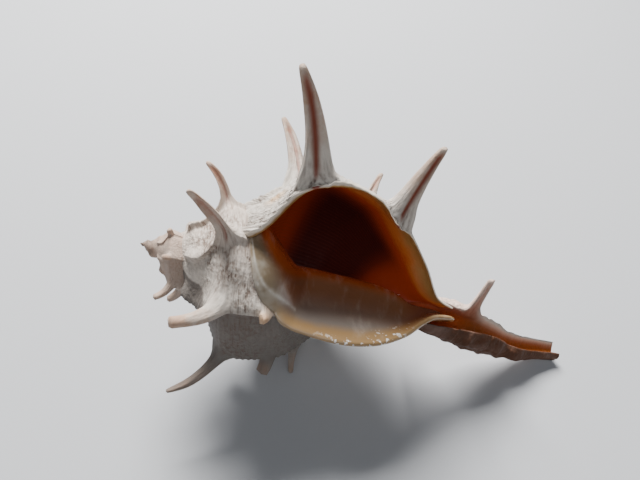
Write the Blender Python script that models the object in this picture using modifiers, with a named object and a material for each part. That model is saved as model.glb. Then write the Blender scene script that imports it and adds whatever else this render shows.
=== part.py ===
"""A dye murex shell: a right-handed, spiny sea snail shell with an open canal.

The shell is one piece that grew as a widening coil. It lies with its mouth up,
on the tips of two back spines and the end of its canal.
"""
import bpy
import bmesh
import numpy as np
from math import radians
from mathutils import Matrix, Vector

MM = 0.001

# Growth: sizes below are at the lip, and growth() scales them for older parts
TURNS = 4.5
GROWTH = 0.46
SLOWING = 0.18
LIP_ANGLE = 44.0
RING_STEP = 4.0

# Outline of the last whorl at the lip: height along the axis and radius
SUTURE = (15.4, 9.6)
SHOULDER = (23.4, 18.3)
BASE_ROW = (36.3, 15.6)
NECK = (49.5, 3.0)
OUTLINE = [SUTURE, (18.2, 12.0), (21.2, 15.6), SHOULDER, (26.4, 18.6), (30.0, 18.0),
           (33.4, 17.0), BASE_ROW, (39.3, 12.4), (42.3, 8.8), (44.8, 5.6), (46.8, 3.8), NECK]
PILLAR_RADIUS = 2.4
PILLAR_START = 5.0
PILLAR_FULL = 30.0

# The lip runs ahead of the ribs at the suture and at the canal
SUTURE_SWEEP = 25.0
CANAL_SWEEP = 12.0

# Ribs (old lips): angle behind the lip, then the rib's height and half width
RIBS = [-3, -59, -124, -185, -225, -280, -331, -385, -440, -494, -548, -602, -656, -710]
RIB_HEIGHT = 1.1
RIB_WIDTH = 9.0

# Spines on the shoulder: rib number, length, lean towards the apex, tip radius
SHOULDER_SPINES = [(0, 15.6, 22, 0.45), (1, 13.9, 22, 0.45), (2, 13.6, 20, 0.5), (3, 3.0, 20, 0.9),
                   (4, 9.9, 41, 0.6), (5, 8.6, 38, 0.95), (6, 11.0, 30, 0.5), (7, 7.2, 40, 0.5),
                   (8, 3.4, 35, 0.45), (9, 3.4, 35, 0.45), (10, 3.6, 35, 0.45), (11, 3.4, 35, 0.45),
                   (12, 1.4, 30, 0.45), (13, 0.9, 30, 0.4)]
# Spines at the base row, leaning away from the apex, and small ones on the canal
BASE_SPINES = [(0, 12.2, -15, 0.45), (1, 9.6, -15, 0.45), (2, 4.0, -12, 0.5), (3, 6.9, -12, 0.5),
               (4, 2.6, -8, 1.1)]
CANAL_SPINES = [(0, 5.4, -14, 0.45), (2, 4.0, -10, 0.5), (3, 5.6, -10, 0.5), (4, 4.6, -10, 0.5)]
CANAL_ROW = (53.6, 3.0)
SPINE_ROOT = 3.6
LONGEST_SPINE = 15.6

# The canal: a slightly bent, tapering pipe with an open groove
CANAL_PATH = [(42.0, 0.0, 0.0), (47.0, 0.2, 0.2), (52.0, 0.2, -0.6), (58.0, -0.7, -2.6),
              (64.0, -1.2, -4.5), (69.0, -1.0, -5.7), (73.0, -0.7, -6.3)]
CANAL_RADII = [2.4, 2.9, 3.2, 3.1, 2.4, 1.95, 1.6]
GROOVE_AT_MOUTH = 2.7
GROOVE_AT_TIP = 0.7

# The inner lip: a sheet that stands up from the pillar, by its free edge
SHIELD_EDGE = [(22.5, -7.6, 8.6), (27.6, -7.9, 8.9), (31.0, -8.1, 9.2), (34.8, -7.8, 9.1),
               (38.7, -6.6, 8.4), (42.2, -4.5, 7.0), (44.7, -1.9, 5.4), (47.0, -0.3, 4.3)]
SHIELD_ROOT = (-0.8, 1.5)
SHIELD_EDGE_THICK = 1.2
SHIELD_ROOT_THICK = 4.5
SHIELD_HOLLOW = 0.9

# The hollow
WALL = 1.25
GLAZE = 0.45
HOLLOW_START = -423.0
HOLLOW_STEP = 9.0
HOLLOW_OVERRUN = (4.0, 14.0, 24.0)
HOLLOW_SAMPLES = 12
MOUTH_CLEARANCE = 1.5

# Meshing
VOXEL = 0.4
KEPT_SHARE = 0.055

# The pose: the shell's axis turned to lie as it rests
ROLL_VECTOR = (-0.17, 0.123, -0.24)
VIEW_PITCH = 47.0


def growth(angle):
    """Size of the shell at an angle behind the lip, as a share of its size at the lip."""
    turns = np.asarray(angle) / 360.0
    return np.exp(GROWTH * turns - SLOWING * turns ** 2)


def smooth_step(value):
    """Rise softly from 0 to 1 as the value goes from 0 to 1."""
    value = np.clip(value, 0.0, 1.0)
    return value * value * (3.0 - 2.0 * value)


def through(points, count):
    """Points along a smooth curve (Catmull-Rom) through the given ones."""
    points = np.array(points, float)
    padded = np.vstack([2 * points[0] - points[1], points, 2 * points[-1] - points[-2]])
    steps = np.linspace(0.0, len(points) - 1.0, count)
    spans = np.minimum(steps.astype(int), len(points) - 2)
    u = (steps - spans)[:, None]
    p0, p1, p2, p3 = (padded[spans + k] for k in range(4))
    return 0.5 * (2 * p1 + (p2 - p0) * u + (2 * p0 - 5 * p1 + 4 * p2 - p3) * u ** 2
                  + (3 * p1 - p0 - 3 * p2 + p3) * u ** 3)


def sweep(height):
    """Degrees by which the lip runs ahead, at a height along the axis of the lip's outline."""
    at_suture = SUTURE_SWEEP * smooth_step((SHOULDER[0] - height) / (SHOULDER[0] - SUTURE[0]))
    at_canal = CANAL_SWEEP * smooth_step((height - BASE_ROW[0]) / (NECK[0] - BASE_ROW[0]))
    return at_suture + at_canal


def place(height, radius, angle):
    """A point of the shell from its height on the axis, radius and angle behind the lip."""
    turn = np.radians(LIP_ANGLE + np.asarray(angle))
    return np.stack(np.broadcast_arrays(height, radius * np.cos(turn), radius * np.sin(turn)), -1)


def rib_lift(angle):
    """Height of the nearest rib above the whorl, steeper on its newer side."""
    lift = 0.0
    for rib in RIBS:
        away = angle - rib
        width = RIB_WIDTH if away < 0 else 0.6 * RIB_WIDTH
        lift = max(lift, RIB_HEIGHT * float(np.exp(-(away / width) ** 2)))
    return lift


def loft(mesh, rings):
    """Join rings of points, each closed on itself, into one closed tube with end caps."""
    loops = [[mesh.verts.new(Vector(point) * MM) for point in ring] for ring in rings]
    count = len(loops[0])
    for first, second in zip(loops, loops[1:]):
        for k in range(count):
            after = (k + 1) % count
            mesh.faces.new((first[k], first[after], second[after], second[k]))
    mesh.faces.new(loops[0][::-1])
    mesh.faces.new(loops[-1])


def circle_rings(path, radii, sides, flatten=1.0, across=(0.0, 0.0, 1.0)):
    """Rings around a path, square to it; flatten is the ring's width along the cross direction."""
    path = np.array(path, float)
    along = np.gradient(path, axis=0)
    along /= np.linalg.norm(along, axis=1)[:, None]
    turns = np.linspace(0.0, 2.0 * np.pi, sides, endpoint=False)
    rings = []
    for centre, ahead, radius in zip(path, along, radii):
        side = np.cross(ahead, np.cross(across, ahead))
        side /= np.linalg.norm(side)
        other = np.cross(ahead, side)
        rings.append([centre + radius * (flatten * np.cos(t) * side + np.sin(t) * other)
                      for t in turns])
    return rings


def add_coil(mesh):
    """The whorls, filled down to the axis."""
    outline = through(OUTLINE, 40)
    ahead = sweep(outline[:, 0])
    rings = []
    for angle in np.arange(-360.0 * TURNS, 0.1, RING_STEP):
        size = growth(angle + ahead)
        swell = 1.0 + rib_lift(angle) / SHOULDER[1] * smooth_step((NECK[0] - outline[:, 0]) / 8.0)
        outer = place(outline[:, 0] * size, outline[:, 1] * size * swell, angle + ahead)
        low = place(outline[-1, 0] * size[-1], 0.3 * size[-1], angle + ahead[-1])
        high = place(outline[0, 0] * size[0], 0.3 * size[0], angle + ahead[0])
        rings.append(np.vstack([outer, low, high]))
    loft(mesh, rings)


def pillar_radius(height):
    """Radius of the solid pillar around the axis, at a height of the full-grown shell."""
    return PILLAR_RADIUS * smooth_step((height - PILLAR_START) / (PILLAR_FULL - PILLAR_START))


def add_pillar(mesh):
    """The pillar that the whorls wind around."""
    heights = np.linspace(PILLAR_START - 3.0, 48.0, 24)
    path = [(height, 0.0, 0.0) for height in heights]
    loft(mesh, circle_rings(path, np.maximum(pillar_radius(heights), 0.35), 20))


def spine_path(row, rib, length, lean, sink, shares):
    """Centre line of a spine, from inside the whorl to its tip."""
    angle = RIBS[rib]
    size = float(growth(angle))
    foot = np.array(row) * size
    foot[1] *= 1.0 + 0.5 * RIB_HEIGHT / SHOULDER[1]
    slant = radians(lean)
    tip = foot + length * np.array([-np.sin(slant), np.cos(slant)])
    bend = foot + 0.5 * length * np.array([-np.sin(0.4 * slant), np.cos(0.4 * slant)])
    foot[1] -= sink
    line = [foot - np.array([0.0, 1.6 * size])]
    for u in shares:
        line.append((1 - u) ** 2 * foot + 2 * u * (1 - u) * bend + u * u * tip)
    return [place(height, radius, angle) for height, radius in line]


def add_spine(mesh, row, rib, length, lean, tip_radius):
    """One tapering spine, whose foot widens softly into the whorl."""
    root = SPINE_ROOT * (length / LONGEST_SPINE) ** 0.6
    shares = np.linspace(0.0, 1.0, 11) ** 1.6
    path = spine_path(row, rib, length, lean, 0.25 * root, shares)
    taper = (1.0 - shares ** 0.45) ** 1.15
    radii = tip_radius + np.maximum(root - tip_radius, 0.0) * np.concatenate([[1.0], taper])
    loft(mesh, circle_rings(path, radii, 12, across=(1.0, 0.0, 0.0)))


def add_canal(mesh):
    """The canal pipe."""
    loft(mesh, circle_rings(through(CANAL_PATH, 25), through([(r,) for r in CANAL_RADII], 25)[:, 0],
                            18, flatten=0.85))


def add_shield(mesh):
    """The inner lip, a wedge from the pillar out to its thin free edge."""
    root = np.array(SHIELD_ROOT)
    rings = []
    for height, across, out in through(SHIELD_EDGE, 22):
        edge = np.array([across, out])
        ahead = (edge - root) / np.linalg.norm(edge - root)
        back = np.array([ahead[1], -ahead[0]]) * np.sign(ahead[0])
        middle = root + 0.55 * (edge - root) + SHIELD_HOLLOW * back
        middle_thick = 0.5 * (SHIELD_EDGE_THICK + SHIELD_ROOT_THICK)
        points = [root, middle, edge, edge + SHIELD_EDGE_THICK * back,
                  middle + middle_thick * back, root + SHIELD_ROOT_THICK * back]
        rings.append([(height, y, z) for y, z in points])
    loft(mesh, rings)


def outer_radius(heights, angle):
    """Radius of the whorl's outside at heights on the axis, at one angle."""
    outline = through(OUTLINE, 80) * float(growth(angle))
    return np.interp(heights, outline[:, 0], outline[:, 1])


def inner_radius(heights, angle):
    """Radius of what the whorl wraps: the whorl one turn older, or the pillar."""
    size = float(growth(angle))
    older = through(OUTLINE, 80) * float(growth(angle - 360.0))
    wrapped = np.interp(heights, older[:, 0], older[:, 1], right=0.0)
    pillar = size * pillar_radius(heights / size)
    return np.maximum(wrapped, pillar) + GLAZE * size ** 0.5


def hollow_ring(angle):
    """Section of the hollow at an angle; past the lip it clears the edge of the mouth."""
    size = float(growth(angle))
    share = 0.5 - 0.5 * np.cos(np.linspace(0.0, np.pi, HOLLOW_SAMPLES))
    heights = size * (SUTURE[0] + 1.5 + share * (46.0 - SUTURE[0] - 1.5))
    ahead = sweep(heights / size)
    inner = np.array([inner_radius(h, angle + a) for h, a in zip(heights, ahead)])
    outer = np.array([outer_radius(h, angle + a) for h, a in zip(heights, ahead)])
    slope = np.gradient(outer, heights)
    outer = outer - WALL * size ** 0.5 * np.sqrt(1.0 + slope ** 2)
    outer = np.maximum(outer, inner + 0.25 * size)
    if angle > 0.0:
        outer += WALL + MOUTH_CLEARANCE
    top = place(heights, outer, angle + ahead)
    bottom = place(heights, inner, angle + ahead)
    return np.vstack([top, bottom[::-1]])


def add_hollow(mesh):
    """The room that the animal lived in, out through the mouth."""
    angles = np.concatenate([np.arange(HOLLOW_START, 0.1, HOLLOW_STEP), HOLLOW_OVERRUN])
    loft(mesh, [hollow_ring(angle) for angle in angles])


def add_groove(mesh):
    """The open groove of the canal, on the side of the mouth."""
    path = through(CANAL_PATH, 25)
    radii = through([(r,) for r in CANAL_RADII], 25)[:, 0]
    lift = np.stack([np.zeros(25), 0.15 * radii, 0.85 * radii], -1)
    inside_mouth = 2
    share = np.linspace(0.0, 1.0, 25 - inside_mouth)
    widths = GROOVE_AT_TIP + (GROOVE_AT_MOUTH - GROOVE_AT_TIP) * (1.0 - share) ** 3
    loft(mesh, circle_rings((path + lift)[inside_mouth:], widths, 8, flatten=1.2))


def new_object(name, builders, collection, parent):
    """An object made of one or more overlapping closed lofts."""
    mesh = bmesh.new()
    for build in builders:
        build(mesh)
    bmesh.ops.recalc_face_normals(mesh, faces=mesh.faces)
    data = bpy.data.meshes.new(name)
    mesh.to_mesh(data)
    mesh.free()
    thing = bpy.data.objects.new(name, data)
    collection.objects.link(thing)
    thing.parent = parent
    return thing


def shell_material():
    """Chalky cream shell."""
    material = bpy.data.materials.new("chalky_shell")
    material.use_nodes = True
    surface = material.node_tree.nodes["Principled BSDF"]
    surface.inputs["Base Color"].default_value = (0.62, 0.54, 0.46, 1.0)
    surface.inputs["Roughness"].default_value = 0.62
    surface.inputs["Metallic"].default_value = 0.0
    return material


def axis_turn(vector):
    """Rotation matrix for a rotation vector in radians."""
    turn = Vector(vector)
    return Matrix.Rotation(turn.length, 3, turn)


def resting_pose():
    """Rotation from the shell's own frame to the frame where it lies on the floor."""
    pitch = radians(VIEW_PITCH)
    rise = Matrix(((1.0, 0.0, 0.0),
                   (0.0, np.sin(pitch), -np.cos(pitch)),
                   (0.0, np.cos(pitch), np.sin(pitch))))
    return (rise @ axis_turn(ROLL_VECTOR)).to_4x4()


def settle(pose, shell):
    """Move the shell so that its box stands on the floor, centred on the origin."""
    bpy.context.view_layer.update()
    built = shell.evaluated_get(bpy.context.evaluated_depsgraph_get())
    points = np.array([shell.matrix_world @ vertex.co for vertex in built.data.vertices])
    low, high = points.min(axis=0), points.max(axis=0)
    middle = 0.5 * (low + high)
    pose.location -= Vector((middle[0], middle[1], low[2]))


def add_spines(mesh):
    """Every spine of the three rows."""
    rows = ((SHOULDER, SHOULDER_SPINES), (BASE_ROW, BASE_SPINES), (CANAL_ROW, CANAL_SPINES))
    for row, spines in rows:
        for rib, length, lean, tip_radius in spines:
            add_spine(mesh, row, rib, length, lean, tip_radius)


def main():
    """Build the shell and set it down."""
    for thing in list(bpy.data.objects):
        bpy.data.objects.remove(thing, do_unlink=True)
    parts = bpy.data.collections.new("dye_murex_shell")
    cutters = bpy.data.collections.new("cutters")
    for collection in (parts, cutters):
        bpy.context.scene.collection.children.link(collection)
    pose = bpy.data.objects.new("pose", None)
    parts.objects.link(pose)
    pose.matrix_world = resting_pose()

    shell = new_object("shell", [add_coil, add_pillar, add_spines, add_canal, add_shield], parts, pose)
    shell.data.materials.append(shell_material())
    fuse = shell.modifiers.new("fuse", "REMESH")
    fuse.mode = "VOXEL"
    fuse.voxel_size = VOXEL * MM
    thin = shell.modifiers.new("thin_out", "DECIMATE")
    thin.ratio = KEPT_SHARE
    for name, build in (("hollow", add_hollow), ("canal_groove", add_groove)):
        cutter = new_object(name, [build], cutters, pose)
        cutter.hide_render = True
        cutter.display_type = "WIRE"
        cut = shell.modifiers.new(name, "BOOLEAN")
        cut.operation = "DIFFERENCE"
        cut.solver = "EXACT"
        cut.object = cutter
    settle(pose, shell)


main()
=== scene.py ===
# %% [markdown]
# This file dresses the plain solid of a dye murex shell, a spiny sea snail shell that lies on a
# pale floor with its mouth up. The solid gives the size and the place. Each step below first
# says what a piece or finish is on the real shell, then makes it.

import bpy
import numpy as np
from math import radians
from mathutils import Matrix, Vector


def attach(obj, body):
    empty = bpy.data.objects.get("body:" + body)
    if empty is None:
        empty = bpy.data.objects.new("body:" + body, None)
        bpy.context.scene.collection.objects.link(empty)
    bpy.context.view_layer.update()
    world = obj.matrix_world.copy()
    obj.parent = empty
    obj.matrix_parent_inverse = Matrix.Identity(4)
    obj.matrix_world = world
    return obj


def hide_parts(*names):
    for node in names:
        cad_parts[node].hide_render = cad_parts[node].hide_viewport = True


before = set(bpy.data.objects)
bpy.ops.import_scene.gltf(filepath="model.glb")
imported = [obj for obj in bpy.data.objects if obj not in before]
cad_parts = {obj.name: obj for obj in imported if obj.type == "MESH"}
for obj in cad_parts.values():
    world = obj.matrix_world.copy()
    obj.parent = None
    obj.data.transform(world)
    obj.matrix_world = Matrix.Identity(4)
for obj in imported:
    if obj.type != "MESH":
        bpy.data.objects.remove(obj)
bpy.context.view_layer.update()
MM = 0.001

# %% [markdown]
# A snail grows its shell by adding to the lip while it turns. Every older section is a smaller
# copy of the lip, so one outline and one rule for its size describe all the whorls. The numbers
# here are those of the solid: heights along the shell's axis from the apex, and radii, in mm.

# %% The growth rule
GROWTH = 0.46
SLOWING = 0.18
LIP_ANGLE = 44.0
SUTURE_SWEEP = 25.0
CANAL_SWEEP = 12.0
SUTURE = (15.4, 9.6)
SHOULDER = (23.4, 18.3)
BASE_ROW = (36.3, 15.6)
NECK = (49.5, 3.0)
BURIED = [(8.0, 3.0), (10.0, 5.0), (12.6, 7.2)]
OUTLINE = [SUTURE, (18.2, 12.0), (21.2, 15.6), SHOULDER, (26.4, 18.6), (30.0, 18.0),
           (33.4, 17.0), BASE_ROW, (39.3, 12.4), (42.3, 8.8), (44.8, 5.6), (46.8, 3.8), NECK]
PILLAR_RADIUS = 2.4


def growth(angle):
    """Size of the shell at an angle behind the lip, as a share of its size at the lip."""
    turns = np.asarray(angle) / 360.0
    return np.exp(GROWTH * turns - SLOWING * turns ** 2)


def smooth_step(value):
    """Rise softly from 0 to 1 as the value goes from 0 to 1."""
    value = np.clip(value, 0.0, 1.0)
    return value * value * (3.0 - 2.0 * value)


def bell(value, width):
    """A soft hump: 1 where the value is 0, and nearly 0 two widths away."""
    return np.exp(-(value / width) ** 2)


def through(points, count):
    """Points along a smooth curve through the given ones."""
    points = np.array(points, float)
    padded = np.vstack([2 * points[0] - points[1], points, 2 * points[-1] - points[-2]])
    steps = np.linspace(0.0, len(points) - 1.0, count)
    spans = np.minimum(steps.astype(int), len(points) - 2)
    u = (steps - spans)[:, None]
    p0, p1, p2, p3 = (padded[spans + k] for k in range(4))
    return 0.5 * (2 * p1 + (p2 - p0) * u + (2 * p0 - 5 * p1 + 4 * p2 - p3) * u ** 2
                  + (3 * p1 - p0 - 3 * p2 + p3) * u ** 3)


def sweep(height):
    """Degrees by which the lip runs ahead at the suture and at the canal."""
    at_suture = SUTURE_SWEEP * smooth_step((SHOULDER[0] - height) / (SHOULDER[0] - SUTURE[0]))
    at_canal = CANAL_SWEEP * smooth_step((height - BASE_ROW[0]) / (NECK[0] - BASE_ROW[0]))
    return at_suture + at_canal


def place(height, radius, angle):
    """A point of the shell from its height on the axis, radius and angle behind the lip."""
    turn = np.radians(LIP_ANGLE + np.asarray(angle))
    return np.stack(np.broadcast_arrays(height, radius * np.cos(turn), radius * np.sin(turn)), -1)


curve = through(BURIED + OUTLINE, 1200)
arc = np.concatenate([[0.0], np.cumsum(np.linalg.norm(np.diff(curve, axis=0), axis=1))])
arc -= arc[np.argmin(np.abs(curve[:, 0] - SUTURE[0]))]
slope = np.gradient(curve, arc, axis=0)
slope /= np.linalg.norm(slope, axis=1)[:, None]


def outline_at(across):
    """Height, radius and outward direction of the lip's outline at a distance from the suture."""
    height, radius, run, rise = (np.interp(across, arc, column)
                                 for column in (*curve.T, *slope.T))
    return height, radius, -rise, run


def across_of(height):
    """Distance from the suture along the outline, for a height."""
    return float(np.interp(height, curve[:, 0], arc))


AT_SHOULDER = across_of(SHOULDER[0])
AT_BASE_ROW = across_of(BASE_ROW[0])
print("outline from suture to neck: %.1f mm" % arc[-1])

# %% [markdown]
# The solid lies tipped on two back spines and the canal's end. The same turn and shift bring
# every point of the dressed shell from the shell's own frame to that place.

# %% The resting pose
ROLL_VECTOR = (-0.17, 0.123, -0.24)
VIEW_PITCH = 47.0
POSE_SHIFT = (-34.96, -3.89, 24.41)
pitch = radians(VIEW_PITCH)
rise_turn = Matrix(((1.0, 0.0, 0.0),
                    (0.0, np.sin(pitch), -np.cos(pitch)),
                    (0.0, np.cos(pitch), np.sin(pitch))))
roll = Vector(ROLL_VECTOR)
pose = np.array(rise_turn @ Matrix.Rotation(roll.length, 3, roll))


def laid_down(points):
    """Points of the shell in metres where it lies, from mm in its own frame."""
    return (np.asarray(points).reshape(-1, 3) @ pose.T + POSE_SHIFT) * MM


print("axis of the shell points to", np.round(pose[:, 0], 2))

# %% [markdown]
# The finishes come first, because the pieces ask for them by name. Small effects that several
# finishes share are node groups: a helper below makes the nodes, so that each group reads as
# a short list of steps.

# %% Helpers for nodes
def add_node(tree, kind, values=(), **settings):
    """A node with its settings, and its inputs set from values or linked from sockets."""
    node = tree.nodes.new(kind)
    for name, value in settings.items():
        setattr(node, name, value)
    for key, value in (values.items() if isinstance(values, dict) else enumerate(values)):
        if isinstance(value, bpy.types.NodeSocket):
            tree.links.new(value, node.inputs[key])
        elif value is not None:
            node.inputs[key].default_value = value
    return node


def maths(tree, operation, *values, clamp=False):
    """Result of one Math node."""
    return add_node(tree, "ShaderNodeMath", values, operation=operation, use_clamp=clamp).outputs[0]


def times(tree, first, second, clamp=False):
    """Product of two values."""
    return maths(tree, "MULTIPLY", first, second, clamp=clamp)


def plus(tree, first, second):
    """Sum of two values."""
    return maths(tree, "ADD", first, second)


def combined(tree, *parts):
    """A point from its coordinates."""
    return add_node(tree, "ShaderNodeCombineXYZ", parts).outputs[0]


def mapped(tree, value, low, high, to_low=0.0, to_high=1.0):
    """A value brought from one range to another, softly."""
    node = add_node(tree, "ShaderNodeMapRange", (value, low, high, to_low, to_high),
                    interpolation_type="SMOOTHSTEP")
    return node.outputs[0]


def mixed(tree, share, first, second):
    """One colour over another."""
    tones = [tone if isinstance(tone, bpy.types.NodeSocket) else (*tone, 1.0) for tone in (first, second)]
    values = {0: share, 6: tones[0], 7: tones[1]}
    return add_node(tree, "ShaderNodeMix", values, data_type="RGBA").outputs[2]


def layered(tree, colour, layers):
    """Colours laid over each other, each with its own share."""
    for share, tone in layers:
        colour = mixed(tree, share, colour, tone)
    return colour


def noise(tree, coordinates, scale, detail=3.0, roughness=0.55):
    """Noise from 0 to 1."""
    node = add_node(tree, "ShaderNodeTexNoise", {"Vector": coordinates, "Scale": scale,
                                                 "Detail": detail, "Roughness": roughness})
    return node.outputs[0]


def read(tree, name):
    """A value that the mesh carries at its points."""
    return add_node(tree, "ShaderNodeAttribute", attribute_name=name).outputs["Fac"]


def new_group(name, inputs, outputs):
    """A shader node group, from the names and kinds of its inputs and outputs."""
    group = bpy.data.node_groups.new(name, "ShaderNodeTree")
    for title, kind, value in inputs:
        socket = group.interface.new_socket(title, in_out="INPUT", socket_type=kind)
        if value is not None:
            socket.default_value = value
    for title, kind in outputs:
        group.interface.new_socket(title, in_out="OUTPUT", socket_type=kind)
    return group, group.nodes.new("NodeGroupInput"), group.nodes.new("NodeGroupOutput")


def use_group(tree, group, values):
    """A group placed in a finish, with its own values."""
    return add_node(tree, "ShaderNodeGroup", values, node_tree=group).outputs


NUMBER = "NodeSocketFloat"
POINT = "NodeSocketVector"

# %% [markdown]
# The outside of a murex looks woven: fine spiral cords run along the growth, and fine growth
# lines cross them. Where both are low there is a tiny pit that keeps dirt. One group makes that
# weave from two distances that the mesh carries, one along the growth and one across it.

# %% The weave of cords and growth lines
weave, given, made = new_group(
    "shell_weave",
    [("Along", NUMBER, 0.0), ("Across", NUMBER, 0.0), ("Point", POINT, None),
     ("Cord spacing", NUMBER, 0.5), ("Line spacing", NUMBER, 0.4)],
    [("Height", NUMBER), ("Pits", NUMBER)])
point = given.outputs["Point"]
shift = times(weave, noise(weave, point, 170.0, 2.0), 9.0)
cord_steps = maths(weave, "DIVIDE", given.outputs["Across"], given.outputs["Cord spacing"])
line_steps = maths(weave, "DIVIDE", given.outputs["Along"], given.outputs["Line spacing"])
even = maths(weave, "SINE", maths(weave, "MULTIPLY_ADD", cord_steps, 2.0 * np.pi, shift))
cord_point = combined(weave, times(weave, line_steps, 0.5), cord_steps)
line_point = combined(weave, line_steps, times(weave, cord_steps, 0.4))
cords = mapped(weave, noise(weave, cord_point, 1.1, 2.0), 0.33, 0.67)
cords = plus(weave, times(weave, cords, 0.7), maths(weave, "MULTIPLY_ADD", even, 0.15, 0.15))
lines = mapped(weave, noise(weave, line_point, 1.3, 2.0), 0.33, 0.67)
height = plus(weave, times(weave, cords, 0.45), times(weave, lines, 0.55))
low_cord = maths(weave, "SUBTRACT", 1.0, cords)
low_line = maths(weave, "SUBTRACT", 1.0, lines)
pits = times(weave, low_line, maths(weave, "MULTIPLY_ADD", low_cord, 0.7, 0.3))
patches = mapped(weave, noise(weave, point, 240.0, 3.0), 0.35, 0.65, 0.25, 1.0)
pits = times(weave, pits, patches)
height = times(weave, height, patches)
weave.links.new(height, made.inputs["Height"])
weave.links.new(pits, made.inputs["Pits"])
print("weave group:", len(weave.nodes), "nodes")

# %% [markdown]
# Lime that has lain in the sea is never one even colour. A second group gives three masks at
# different sizes, for stains, for a chalky mottle and for grains, so that each finish can wear
# in its own way.

# %% Stains, mottle and grain
wear, given, made = new_group("sea_wear", [("Point", POINT, None), ("Stain size", NUMBER, 90.0)],
                              [("Stain", NUMBER), ("Mottle", NUMBER), ("Grain", NUMBER)])
point = given.outputs["Point"]
stain = mapped(wear, noise(wear, point, given.outputs["Stain size"], 4.0, 0.6), 0.42, 0.66)
mottle = mapped(wear, noise(wear, point, 420.0, 4.0, 0.65), 0.35, 0.7)
grain = noise(wear, point, 2600.0, 2.0, 0.6)
wear.links.new(stain, made.inputs["Stain"])
wear.links.new(mottle, made.inputs["Mottle"])
wear.links.new(grain, made.inputs["Grain"])
print("wear group:", len(wear.nodes), "nodes")

# %% [markdown]
# All four finishes are lime of one shell, so they start from the same plain surface. They differ
# in gloss, in colour and in how rough their relief is. Thin lime also lets light through, which
# the glow below stands for.

# %% A blank finish
def new_finish(name, roughness, coat=0.0, coat_roughness=0.1):
    """A Principled material, with its tree, shader and object coordinates."""
    material = bpy.data.materials.new(name)
    material.use_nodes = True
    tree = material.node_tree
    surface = tree.nodes["Principled BSDF"]
    for title, value in (("Roughness", roughness), ("Coat Weight", coat),
                         ("Coat Roughness", coat_roughness), ("Emission Strength", 1.0),
                         ("Emission Color", (0.0, 0.0, 0.0, 1.0))):
        surface.inputs[title].default_value = value
    point = add_node(tree, "ShaderNodeTexCoord").outputs["Object"]
    return material, tree, surface, point


def add_bump(tree, surface, height, distance, strength=1.0):
    """Fine relief on a finish, distance in mm."""
    values = {"Strength": strength, "Distance": distance * MM, "Height": height}
    bump = add_node(tree, "ShaderNodeBump", values)
    tree.links.new(bump.outputs[0], surface.inputs["Normal"])


# %% [markdown]
# The outside is chalky cream lime. Its pits are grey-brown with dirt, its oldest turns are pinkish
# tan, its spines turn tan towards their tips, and where a spine was once folded from the lip a
# red-brown groove is left. The dark grey below the rib's ledge on the last turn and on the oldest
# turns is painted shade.

# %% Chalky outside
CREAM = (0.58, 0.535, 0.475)
MOTTLE_TAN = (0.37, 0.305, 0.26)
SHADED_GREY = (0.075, 0.066, 0.060)
# Grey-brown of the dirt in the pits, also used for the painted shade along the seams.
PIT_DIRT_AND_SEAM_SHADE = (0.115, 0.085, 0.068)
PINK_TAN = (0.47, 0.315, 0.235)
TIP_TAN = (0.41, 0.25, 0.165)
ORANGE_TAN = (0.60, 0.36, 0.17)
GROOVE_RED = (0.20, 0.038, 0.014)

chalk, tree, surface, point = new_finish("chalky_outside", 0.78)
woven = use_group(tree, weave, {"Along": read(tree, "along"), "Across": read(tree, "across"),
                                "Point": point})
worn = use_group(tree, wear, {"Point": point})
spine = read(tree, "spine")
# Dirt in the weave's pits, with the painted shade along the seams laid over it.
pit_dirt_and_seam_shade = times(tree, woven["Pits"], maths(tree, "MULTIPLY_ADD", worn["Stain"], 0.85, 0.35))
pit_dirt_and_seam_shade = times(tree, pit_dirt_and_seam_shade, mapped(tree, spine, 0.0, 0.3, 1.5, 0.45), clamp=True)
pit_dirt_and_seam_shade = maths(tree, "MAXIMUM", pit_dirt_and_seam_shade, read(tree, "painted_seam_shade"))
aged = times(tree, read(tree, "age"), maths(tree, "MULTIPLY_ADD", worn["Stain"], 0.4, 0.45))
tip_mottle = maths(tree, "MULTIPLY_ADD", worn["Mottle"], 0.5, 0.4)
tip_tint = times(tree, mapped(tree, spine, 0.02, 0.75), tip_mottle, clamp=True)
tip_tint = times(tree, tip_tint, maths(tree, "MULTIPLY_ADD", read(tree, "shade"), -0.75, 1.0))
# The shade mask paints shade below the rib's ledge and on the oldest turns; the seam lines are painted
# shade too.
colour = layered(tree, CREAM, [
    (times(tree, worn["Mottle"], 0.45), MOTTLE_TAN), (read(tree, "shade"), SHADED_GREY), (pit_dirt_and_seam_shade, PIT_DIRT_AND_SEAM_SHADE),
    (aged, PINK_TAN), (tip_tint, TIP_TAN), (read(tree, "tint"), ORANGE_TAN),
    (read(tree, "groove"), GROOVE_RED)])
tree.links.new(colour, surface.inputs["Base Color"])
relief = plus(tree, woven["Height"], times(tree, worn["Grain"], 0.35))
add_bump(tree, surface, relief, 0.16)
print("chalk:", len(tree.nodes), "nodes")

# %% [markdown]
# Inside the mouth the animal laid down a hard glossy glaze. At the lip it is thin and amber, a
# little deeper it turns orange-red, and the throat below the shoulder is nearly black, partly its
# own dark colour and partly painted shade of the deep cavity. The mesh carries the depth behind
# the lip, so a colour ramp on that depth paints it. The wall is so thin that daylight shines
# through it, and a weak red-brown glow stands for that light.

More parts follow.
